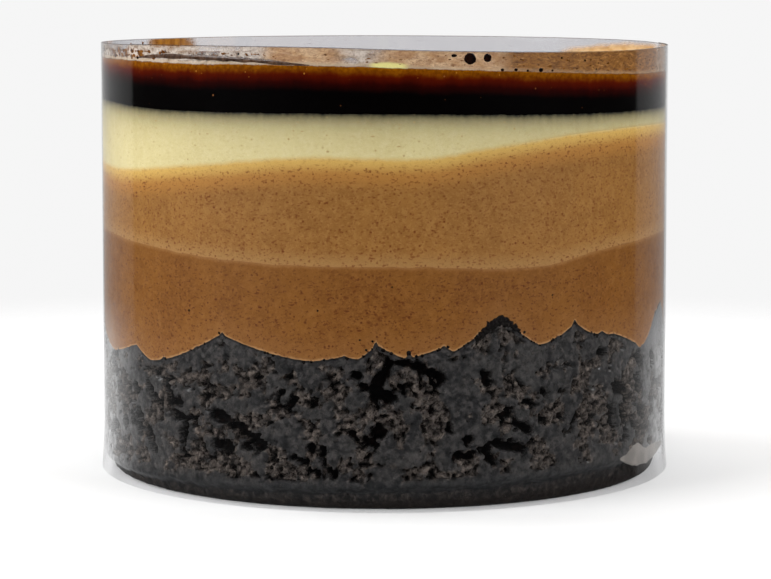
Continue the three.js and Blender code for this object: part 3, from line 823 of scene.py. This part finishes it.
def glaze_pieces():
    """The glaze in two: the body that shows through the strip, and the shining skin on top of it."""
    bearings = all_bearings(SMOOTH_COLUMNS)
    rim = cake_radius(bearings)
    low = white_top(bearings) + LAYER_GAP / 2
    high = glaze_top(bearings)
    side_heights = low + (high - MIRROR_DEPTH - low) * np.linspace(0, 1, 12)
    under_shares = np.array([0, 0.5, 0.8, 0.95])
    under = MIDDLE_HEIGHT["white"] + (low - MIDDLE_HEIGHT["white"]) * under_shares**2
    lid_shares = np.array([0.97, 0.8, 0.4, 0])
    radii = section(under_shares * rim, rim + 0 * side_heights, lid_shares * rim)
    heights = section(under, side_heights, glaze_top(bearings, lid_shares) - MIRROR_DEPTH)
    body = turned_piece("glaze_body", bearings, radii, heights, below_top=high - heights)
    finish_piece(body, glaze_wall_material(), "chocolate_glaze")

    edge_shares = 1 - np.linspace(0, MENISCUS_WIDTH, 9) / RING_RADIUS
    over_shares = np.concatenate([edge_shares, [0.9, 0.8, 0.7, 0.6, 0.5, 0.4, 0.3, 0.2, 0.1, 0]])
    swell = noise_field(over_shares * rim, bearings, 0, 11, 15, 2)
    over = glaze_top(bearings, over_shares) + 0.07 * swell * smoothstep(1, 0.9, over_shares)
    base_shares = np.array([0, 0.4, 0.8, 0.97, 1])
    base = glaze_top(bearings, base_shares) - MIRROR_DEPTH + 0.01
    radii = section(base_shares * rim, over_shares * rim)
    skin = turned_piece("glaze_mirror", bearings, radii, section(base, over), 40, inward=rim - radii)
    finish_piece(skin, glaze_mirror_material(), "chocolate_glaze")


def smear_piece():
    """A thin uneven coat on the inside of the strip, from the glaze up to the strip's edge."""
    bearings = all_bearings(SMOOTH_COLUMNS)
    rim = cake_radius(bearings)
    kinds = {}
    for kind, arcs in SMEARS.items():
        cover = np.zeros_like(bearings)
        for start, end, thickness in arcs:
            off = np.abs(turn_between(bearings, (start + end) / 2))
            half = (end - start) / 2
            fade = SMEAR_FADES.get(kind, 3)
            cover = np.maximum(cover, thickness * (1 - smoothstep(half - fade, half + 3, off)))
        kinds[kind] = cover
    low = glaze_top(bearings) - SMEAR_OVERLAP
    high = strip_top(bearings) + STRIP_HEIGHT - LAP_SLIP - 0.05
    up = np.linspace(0, 1, 22)
    wall_heights = low + (high - low) * up
    face = np.broadcast_to(rim + FILM_GAP - 0.012, wall_heights.shape)
    around = np.broadcast_to(bearings, wall_heights.shape)
    waves = noise_field(face, around, wall_heights * 1.6, 4, 31, 3)
    foam = noise_field(face, around, wall_heights, 0.5, 33, 2)
    thin_from = np.interp(around, *zip(*CLOUD_TOP))
    soft_top = 1 - smoothstep(-1.9, 0.8, wall_heights - thin_from + 0.15 * waves)
    opaque = np.maximum(kinds["tan"], kinds["brown"]) * (1.15 - 0.25 * smoothstep(0.75, 1, up))
    cream = kinds["cream"] * (0.95 + 0.5 * waves - 0.25 * up)
    amber = kinds["amber"] * (0.8 + 0.5 * waves)
    rise = wall_heights - low - SMEAR_OVERLAP
    in_front = 1 - smoothstep(72, 96, np.abs(turn_between(around, 0)))
    at_left = 1 - 0.65 * smoothstep(6, 20, turn_between(around, 0))
    # painted reflection: a pale line along the smear's foot, at the front and weaker to the right, for the
    # glaze's meniscus mirroring the backdrop
    lip = (1 - smoothstep(0.1, 0.45, rise + 0.2 * foam)) * in_front * at_left
    # painted highlight: a pale yellow patch at the glaze's edge near the front, for a lamp's glint
    highlight_from, highlight_to, highlight_height = PAINTED_HIGHLIGHT
    off = np.abs(turn_between(around, (highlight_from + highlight_to) / 2)) / ((highlight_to - highlight_from) / 2)
    sheen = (1 - smoothstep(0.6, 1.1, off)) * (1 - smoothstep(0.6, 1, rise / highlight_height + 0.3 * off))
    cover = np.maximum.reduce([opaque, cream, amber, kinds["cloud"] * soft_top, lip * 0.9, sheen])
    cover = cover * smoothstep(-0.3, 0.08, rise + 0.06 * foam)
    thickness = 0.02 + (0.08 + 0.1 * np.clip(foam, 0, 1)) * np.clip(cover, 0, 1)
    radii = out_and_back(face, face - thickness)
    heights = out_and_back(wall_heights, wall_heights)
    blotchy = 1 - smoothstep(12, 26, np.abs(turn_between(around, -70)))
    fields = {"cover": cover, "lip": lip * 0.75, "sheen": sheen, "blotchy": blotchy}
    fields.update({kind: kinds[kind] for kind in ("tan", "brown", "amber", "cloud")})
    for label, values in fields.items():
        values = np.clip(np.broadcast_to(values, wall_heights.shape), 0, 1.2)
        fields[label] = out_and_back(values, values)
    faces = grid_quads(*radii.shape, all_round=True, closed=True)
    piece = mesh_object("strip_smear", place(radii, bearings, heights), faces, 50, **fields)
    finish_piece(piece, smear_material(), "chocolate_glaze")


def scrape_piece():
    """A pale scrape of mousse between the crumb's foot and the strip."""
    bearings = np.linspace(SCRAPE[0][0], SCRAPE[-1][0], 90)[:, None]
    marks, low, high = np.array(SCRAPE).T
    low = np.interp(bearings, marks, low) + 0.1 * rim_noise(bearings, 1.2, 61, 2)
    high = np.interp(bearings, marks, high) + 0.2 * rim_noise(bearings, 1.6, 62, 2, height=9)
    high = np.maximum(high, low + 0.05)
    turn = np.radians(np.arange(0, 360, 20))
    middle, half = (low + high) / 2, (high - low) / 2
    outer = cake_radius(bearings) + FILM_GAP - 0.004
    radii = outer - np.minimum(half, 0.5) * 0.5 * np.clip(0.3 - np.cos(turn), 0, 2)
    piece = strand_piece("mousse_scrape", bearings, radii, middle + half * np.sin(turn))
    nodes = Nodes("mousse_scrape")
    tone = nodes.wash((108, 103, 98), (130, 124, 118), nodes.noise(3, 2), 0.36, 0.64)
    finish_piece(piece, nodes.surface(nodes.painted(tone, 0.5)), "cake_base")


def fold_piece():
    """A fold in the glaze's skin, dragged up the strip at the front left."""
    along = np.linspace(0, 1, 70)
    bearings, middles = (np.interp(along, np.linspace(0, 1, len(FOLD)), values) for values in zip(*FOLD))
    middles = np.convolve(np.pad(middles, 4, mode="edge"), np.ones(9) / 9, mode="valid")
    along, bearings, middles = (values[:, None] for values in (along, bearings, middles))
    swell = rim_noise(bearings, 2, 37, 2, height=middles)
    width = FOLD_WIDTH * (1 + 0.5 * swell) * np.sin(np.pi * np.clip(along, 0.012, 0.988)) ** 0.6
    turn = np.radians(np.arange(0, 360, 45))
    outer = cake_radius(bearings) + FILM_GAP - 0.004
    radii = outer - width * 0.3 * np.clip(0.6 - np.cos(turn), 0, 2)
    piece = strand_piece("glaze_fold", bearings, radii, middles + width * 0.5 * np.sin(turn))
    material = drop_material("glaze_fold", (56, 36, 24), (98, 72, 54), 0.9, 3, (0.36, 0.66), (0.2, 0.4))
    finish_piece(piece, material, "chocolate_glaze")


def drops_piece():
    """Beads and drips of glaze on the inside of the strip."""
    lumps = [(bearing, height, width, width * 0.42, squash) for bearing, height, width, squash in BEADS]
    lumps += [(bearing, height, width, width * 0.3, 0.8) for bearing, height, width in DRIPS]
    piece = lumps_piece("glaze_drops", lumps, 9, 0.13, FILM_GAP - 0.003, fineness=3)
    material = drop_material("glaze_drop", (12, 4, 3), (34, 14, 7))
    finish_piece(piece, material, "chocolate_glaze")


def flecks_piece():
    """Small brown flecks dragged along the strip above the glaze."""
    draw = np.random.default_rng(23)
    material = drop_material("glaze_fleck", (84, 46, 16), (140, 90, 36))
    lumps = []
    for start, end, count, smallest, largest, squash in FLECKS:
        for _ in range(count):
            bearing = draw.uniform(start, end)
            width = smallest + (largest - smallest) * draw.uniform() ** 2
            height = min(glaze_top(bearing) + draw.uniform(0.25, 1.95), FLECK_CEILING)
            lumps.append((bearing, height, width, width * 0.2, squash * draw.uniform(0.6, 1.1)))
    piece = lumps_piece("glaze_flecks", lumps, 12, 0.8, FILM_GAP - 0.006)
    finish_piece(piece, material, "chocolate_glaze")


def film_piece():
    """The clear strip, followed from its outer end round the cake and on under that end."""
    lap = LAP_OUTER_END - LAP_INNER_END
    turns = np.arange(0, 360 + lap + 0.25, 0.5)[:, None]
    bearings = LAP_OUTER_END - turns
    outside = RING_RADIUS - tucked_in(turns)
    slipped = LAP_SLIP * np.clip((turns - (360 - LAP_RAMP)) / LAP_RAMP, 0, 1)
    top = STRIP_HEIGHT + strip_top(bearings) - slipped
    levels = np.concatenate(
        [[0, 0.6, 1.2, 2, 3, 4.5, 7, 11, 15], np.arange(17, 26.1, 0.6), [32, 42, 52, 55.5]]
    )
    rim_shares = np.array([0.2, 0.4, 0.6, 0.8, 0.965, 1.0])
    wall_heights = section(levels, levels[-1] + (top - levels[-1]) * rim_shares)
    flare = FLARE_REACH * (1 - np.clip(wall_heights / FLARE_HEIGHT, 0, 1)) ** 2
    outer = outside + flare
    radii = out_and_back(outer, outer - FILM_THICKNESS)
    heights = out_and_back(wall_heights, wall_heights)
    free = smoothstep(-0.2, 0.1, wall_heights - glaze_top(bearings))
    dry = 1 - smoothstep(-0.6, 0.3, wall_heights - crest_outline(bearings))
    under_lap = smoothstep(360 - LAP_RAMP, 360, turns)
    over_lap = 1 - smoothstep(lap - 0.5, lap + 0.5, turns)
    outer_bare = 1 - 0.92 * np.broadcast_to(under_lap, outer.shape)
    pocket = in_pocket(bearings, wall_heights) * dry
    inner_bare = np.maximum(np.maximum(free, pocket), 0.08 + 0.12 * dry) * (1 - 0.92 * over_lap)
    behind = smoothstep(76, 96, np.abs(turn_between(bearings, 0)))
    free = free * behind * (1 - 0.5 * np.maximum(under_lap, over_lap))
    brim = np.zeros_like(outer)
    brim[:, -1] = 1
    fields = {
        "bare": out_and_back(outer_bare, inner_bare), "free": out_and_back(free, free),
        "dull": out_and_back(0 * dry, dry * (1 - pocket)), "brim": out_and_back(brim, brim),
    }
    stations, ring = radii.shape
    faces = [[a, d, c, b] for a, b, c, d in grid_quads(stations, ring, closed=True)]
    last = (stations - 1) * ring
    for row in range(ring // 2 - 1):
        across = ring - 1 - row
        faces.append([row, across, across - 1, row + 1])
        faces.append([last + row, last + row + 1, last + across - 1, last + across])
    piece = mesh_object("clear_strip", place(radii, bearings, heights), faces, 60, **fields)
    finish_piece(piece, film_material(), "acetate_collar")


# ---------------------------------------------------------------- stage, lights and camera
def build_stage():
    floor = mesh_object("floor", np.array([[-3, -3, 0], [3, -3, 0], [3, 3, 0], [-3, 3, 0]]), [[0, 1, 2, 3]])
    nodes = Nodes("pale_floor")
    where = nodes.add("TexCoord").outputs["Object"]
    reach = nodes.add("VectorMath", {0: where}, operation="LENGTH").outputs["Value"]
    paint = nodes.add("BsdfDiffuse", {"Color": (0.8, 0.8, 0.8, 1)})
    inputs = {0: nodes.ramp(reach, 0.07, 0.22), 1: paint, 2: nodes.add("BsdfTransparent")}
    floor.data.materials.append(nodes.surface(nodes.add("MixShader", inputs)))
    floor.visible_glossy = False


# What shiny faces mirror, the backdrop and lower down the table, as brightness by degrees away from
# straight behind
BACKDROP = ((0, 0.95), (9, 0.9), (15, 0.68), (24, 0.5), (35, 0.4), (58, 0.33), (60, 0.01), (180, 0.01))
TABLE = ((0, 0.9), (20, 0.95), (35, 1.3), (48, 1.05), (65, 0.47), (80, 0.27), (96, 0.07), (180, 0.01))
BACKGROUND = (0.92, 0.92, 0.92, 1)
SKY, FLOOR_GLOW = 0.34, 0.16
PANEL_GLOW, PANEL_TURNS, PANEL_START = 2.4, 22, 2  # the soft ceiling panels that shiny tops mirror


def build_world():
    nodes = Nodes("studio", "worlds")
    bpy.context.scene.world = nodes.owner
    across, along, up = nodes.add("SeparateXYZ", {0: nodes.add("TexCoord").outputs["Generated"]}).outputs
    turn = nodes.math("ABSOLUTE", nodes.math("ARCTAN2", across, along))
    turn = nodes.math("DIVIDE", turn, math.pi)

    def profile(levels):
        ramp = nodes.add("ValToRGB", {0: turn})
        stops = ramp.color_ramp.elements
        while len(stops) < len(levels):
            stops.new(1)
        for stop, (degrees, level) in zip(stops, levels):
            stop.position = degrees / 180
            stop.color = (level, level, level, 1)
        return ramp

    def straight(value, low, high, start=0, end=1):
        return nodes.ramp(value, low, high, start, end, smooth=False)

    def between(share, a, b):
        return nodes.add("Mix", {0: share, 2: a, 3: b}, data_type="FLOAT")

    wall = nodes.times(profile(BACKDROP), straight(up, -0.07, -0.1, 1.05, 0.8))
    table = nodes.times(profile(TABLE), straight(across, 0.1, 0.35, 1, 0.68))
    level = between(straight(up, -0.116, -0.138), wall, table)
    level = nodes.math("MAXIMUM", level, straight(up, -0.21, -0.32, 0, FLOOR_GLOW))
    skew = nodes.times(nodes.math("DIVIDE", across, up), 0.45)
    stripes = nodes.times(nodes.plus(nodes.math("DIVIDE", along, up), skew), PANEL_TURNS)
    stripes = nodes.math("SINE", nodes.plus(stripes, PANEL_START))
    panels = straight(stripes, 0.3, 1, SKY * 0.4, PANEL_GLOW)
    ceiling = between(nodes.add("LightPath").outputs["Is Glossy Ray"], SKY, panels)
    strength = between(straight(up, 0.1, 0.5), level, ceiling)
    surround = nodes.add("Background", {"Strength": strength})
    plain = nodes.add("Background", {"Color": BACKGROUND})
    seen = nodes.add("LightPath").outputs["Is Camera Ray"]
    nodes.add("OutputWorld", {0: nodes.add("MixShader", {0: seen, 1: surround, 2: plain})})


AIM = Vector((0, 0, 0.03))  # the middle of the cake


def softbox(name, turn, elevation, distance, size, watts, mirrored=True):
    """A soft light at a bearing and height angle, aimed at the cake; distances in metres."""
    turn, elevation = math.radians(turn), math.radians(elevation)
    level = distance * math.cos(elevation)
    away = Vector((level * math.sin(turn), -level * math.cos(turn), distance * math.sin(elevation)))
    data = bpy.data.lights.new(name, "AREA")
    data.shape, data.size, data.size_y = "RECTANGLE", *size
    data.energy = watts
    lamp = bpy.data.objects.new(name, data)
    lamp.location = AIM + away
    lamp.rotation_euler = (-away).to_track_quat("-Z", "Y").to_euler()
    lamp.visible_glossy = mirrored
    bpy.context.scene.collection.objects.link(lamp)


def build_camera():
    focal_pixels, image_width, image_height = 2817.3, 771, 579
    middle_x, middle_y = 384.5, 248.4  # where the lens axis meets the picture, in its pixels
    distance, height, degrees_down = 0.4001, 0.0704, 5.706
    data = bpy.data.cameras.new("camera")
    data.sensor_width = 36.0
    data.lens = focal_pixels * data.sensor_width / image_width
    data.shift_x = (image_width / 2 - middle_x) / image_width
    data.shift_y = (middle_y - image_height / 2) / image_width
    data.clip_start, data.clip_end = 0.01, 50
    camera = bpy.data.objects.new("camera", data)
    camera.location = (0, -distance, height)
    camera.rotation_euler = (math.radians(90 - degrees_down), 0, 0)
    bpy.context.scene.collection.objects.link(camera)
    bpy.context.scene.camera = camera


build_camera()
build_stage()
build_world()
softbox("left_key", -66, 27, 0.9, (0.55, 0.5), 6.3)
softbox("front_fill", 5, 24, 0.95, (0.6, 0.4), 2.2, mirrored=False)
softbox("right_fill", 62, 27, 0.9, (0.5, 0.5), 4.2)
softbox("back_left", -112, 28, 0.95, (0.5, 0.5), 5.5, mirrored=False)
softbox("back_right", 114, 28, 0.95, (0.5, 0.5), 3.8, mirrored=False)
softbox("overhead", 180, 68, 0.9, (0.6, 0.45), 3.5, mirrored=False)

crumb_piece()
stray_crumbs_piece()
layer_piece(
    "dark_layer", "dark_mousse", CRUMB_COLUMNS, 12, crest_outline, dark_top, ("crumb", "dark"),
    ((123, 77, 22), (114, 69, 18), (138, 92, 38), (84, 34, 0)),
    top_bands=((0, 0.6, (148, 104, 56), 0.7),),
    bottom_bands=((0, 4, (136, 92, 46), 0.45), (-0.05, 0.34, (182, 142, 96), 0.7)),
)
layer_piece(
    "milk_layer", "milk_mousse", SMOOTH_COLUMNS, 10, dark_top, milk_top, ("dark", "milk"),
    ((145, 100, 45), (137, 93, 40), (160, 116, 61), (106, 50, 2)),
    top_bands=(
        (1.9, 4.4, (172, 120, 56), 0.9), (0.25, 2.3, GOLDEN, 1), (-0.45, 0.45, (214, 200, 146), 1),
    ),
    bottom_bands=((0, 2.4, (162, 123, 74), 0.75),),
)
layer_piece(
    "white_layer", "white_mousse", SMOOTH_COLUMNS, 8, milk_top, white_top, ("milk", "white"),
    ((216, 203, 149), (211, 197, 143), (221, 209, 160), (176, 150, 98)),
    bottom_bands=((-0.5, 0.5, GOLDEN, 1),), speckle=0.35, shadow=1.55,
)
glaze_pieces()
smear_piece()
fold_piece()
drops_piece()
flecks_piece()
scrape_piece()
film_piece()

scene_view = bpy.context.scene.view_settings
scene_view.view_transform = "Standard"
scene_view.look = "None"
